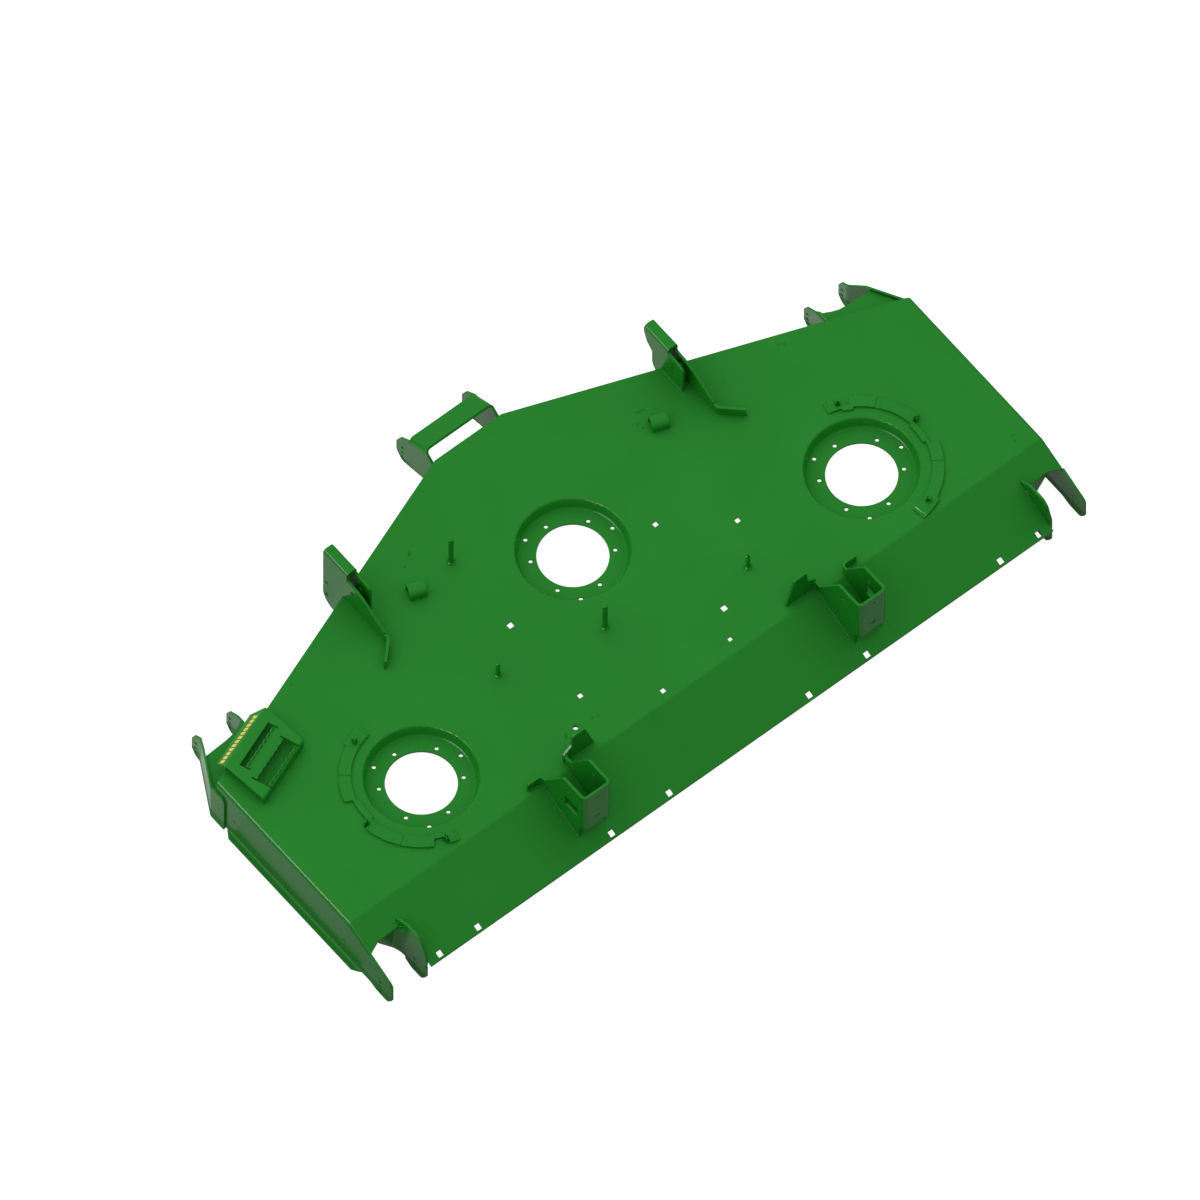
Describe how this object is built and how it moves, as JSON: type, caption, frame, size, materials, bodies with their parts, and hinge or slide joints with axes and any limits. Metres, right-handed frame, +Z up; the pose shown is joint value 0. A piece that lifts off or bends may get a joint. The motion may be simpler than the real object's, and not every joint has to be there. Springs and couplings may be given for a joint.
{
  "type": "mower deck",
  "caption": "Folded sheet steel mower deck with pressed spindle dishes, a sloping rear apron, wheel arms, mount towers and a toothed foot step.",
  "frame": {"origin": "on the centre spindle's axis, at the upper face of the centre dish's floor", "axes": "+X to the deck's right, seen by the driver, +Y to its front nose, +Z up"},
  "size_m": [1.911, 1.0446, 0.271],
  "materials": {
    "green_paint": "gloss"
  },
  "bodies": {
    "root": {"band_tabs_left": "green_paint", "band_tabs_right": "green_paint", "deck_shell": "green_paint", "foot_step": "green_paint", "forked_stud": "green_paint", "front_center_bracket": "green_paint", "front_corner_bracket_left": "green_paint", "front_corner_bracket_right": "green_paint", "front_mount_tower_left": "green_paint", "front_mount_tower_right": "green_paint", "front_skirt": "green_paint", "front_wheel_plate_left": "green_paint", "front_wheel_plate_right": "green_paint", "guard_band_left": "green_paint", "guard_band_right": "green_paint", "guide_clip_left": "green_paint", "guide_clip_right": "green_paint", "rear_inner_arm_left": "green_paint", "rear_inner_arm_right": "green_paint", "rear_mount_tower_left": "green_paint", "rear_mount_tower_right": "green_paint", "short_stud": "green_paint", "tall_stud_front": "green_paint", "tall_stud_rear": "green_paint", "weld_bushing": "green_paint"}
  },
  "joints": []
}
